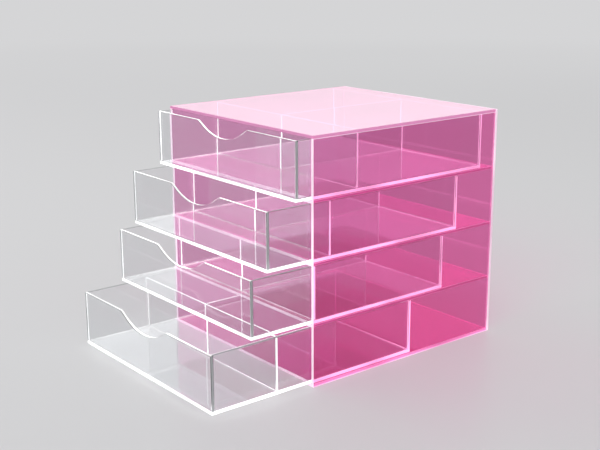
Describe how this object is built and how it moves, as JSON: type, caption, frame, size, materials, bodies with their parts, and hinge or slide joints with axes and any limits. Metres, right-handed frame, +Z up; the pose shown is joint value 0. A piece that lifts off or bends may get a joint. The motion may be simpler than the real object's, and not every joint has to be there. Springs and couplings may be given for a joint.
{
  "type": "acrylic drawer organizer",
  "caption": "Transparent pink open-fronted case with a stack of clear sliding drawers, each divided inside and with a finger notch in its front edge.",
  "frame": {"origin": "middle of the case's underside, on the surface that it stands on", "axes": "+Z up, the drawers open towards -Y, +X to the right seen from the front"},
  "size_m": [0.246, 0.3721, 0.25],
  "materials": {
    "pink_acrylic": "clear transparent pink cast acrylic sheet, glossy faces, polished edges",
    "clear_acrylic": "clear transparent colourless acrylic sheet, glossy faces, polished edges"
  },
  "bodies": {
    "case": {"left_side_panel": "pink_acrylic", "right_side_panel": "pink_acrylic", "back_panel": "pink_acrylic", "top_panel": "pink_acrylic", "base_panel": "pink_acrylic", "shelf_1": "pink_acrylic", "shelf_2": "pink_acrylic", "shelf_3": "pink_acrylic"},
    "drawer_1": {"drawer_1_bottom": "clear_acrylic", "drawer_1_front": "clear_acrylic", "drawer_1_back": "clear_acrylic", "drawer_1_left_wall": "clear_acrylic", "drawer_1_right_wall": "clear_acrylic", "drawer_1_cross_divider": "clear_acrylic", "drawer_1_centre_divider": "clear_acrylic"},
    "drawer_2": {"drawer_2_bottom": "clear_acrylic", "drawer_2_front": "clear_acrylic", "drawer_2_back": "clear_acrylic", "drawer_2_left_wall": "clear_acrylic", "drawer_2_right_wall": "clear_acrylic", "drawer_2_cross_divider": "clear_acrylic", "drawer_2_centre_divider": "clear_acrylic"},
    "drawer_3": {"drawer_3_bottom": "clear_acrylic", "drawer_3_front": "clear_acrylic", "drawer_3_back": "clear_acrylic", "drawer_3_left_wall": "clear_acrylic", "drawer_3_right_wall": "clear_acrylic", "drawer_3_cross_divider": "clear_acrylic", "drawer_3_centre_divider": "clear_acrylic"},
    "drawer_4": {"drawer_4_bottom": "clear_acrylic", "drawer_4_front": "clear_acrylic", "drawer_4_back": "clear_acrylic", "drawer_4_left_wall": "clear_acrylic", "drawer_4_right_wall": "clear_acrylic", "drawer_4_cross_divider": "clear_acrylic", "drawer_4_centre_divider": "clear_acrylic"}
  },
  "joints": [
    {"name": "drawer_1_slide", "type": "slide", "parent": "case", "child": "drawer_1", "axis": [0, -1, 0], "range_m": [-0.0177, 0.1823]},
    {"name": "drawer_2_slide", "type": "slide", "parent": "case", "child": "drawer_2", "axis": [0, -1, 0], "range_m": [-0.0522, 0.1478]},
    {"name": "drawer_3_slide", "type": "slide", "parent": "case", "child": "drawer_3", "axis": [0, -1, 0], "range_m": [-0.0715, 0.1285]},
    {"name": "drawer_4_slide", "type": "slide", "parent": "case", "child": "drawer_4", "axis": [0, -1, 0], "range_m": [-0.1171, 0.0829]}
  ]
}
